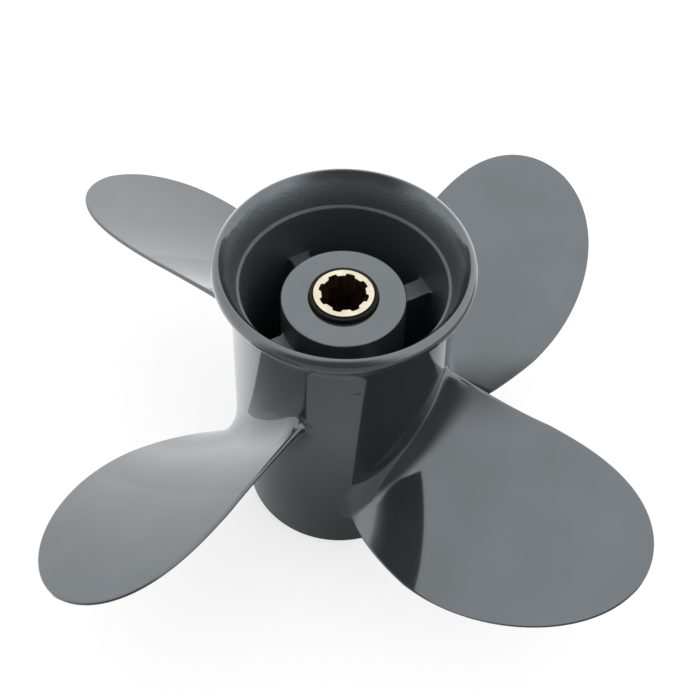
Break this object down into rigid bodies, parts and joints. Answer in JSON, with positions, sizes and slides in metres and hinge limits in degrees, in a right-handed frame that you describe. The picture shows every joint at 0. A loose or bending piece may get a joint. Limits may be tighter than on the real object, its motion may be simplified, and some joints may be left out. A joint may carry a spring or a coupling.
{
  "type": "outboard motor propeller",
  "caption": "Right-hand outboard propeller: broad blades on a flared exhaust barrel, with an inner hub on ribs, a bonded rubber bush and a splined brass sleeve.",
  "frame": {"origin": "centre of the barrel's front end, on the shaft's axis, at the level the propeller stands on", "axes": "+Z runs aft along the shaft's axis, to the flared end; X and Y cross it, with blade_1's root towards +X and -Y"},
  "size_m": [0.1846, 0.1846, 0.1118],
  "materials": {
    "painted_casting": "glossy sprayed grey enamel on an aluminium casting",
    "black_rubber": "moulded black rubber",
    "brass_sleeve": "turned face, broached spline"
  },
  "bodies": {
    "root": {"outer_hub": "painted_casting", "inner_hub": "painted_casting", "rib_1": "painted_casting", "rib_2": "painted_casting", "rib_3": "painted_casting", "rib_4": "painted_casting", "blade_1": "painted_casting", "blade_2": "painted_casting", "blade_3": "painted_casting", "blade_4": "painted_casting", "rubber_bush": "black_rubber", "spline_sleeve": "brass_sleeve"}
  },
  "joints": []
}
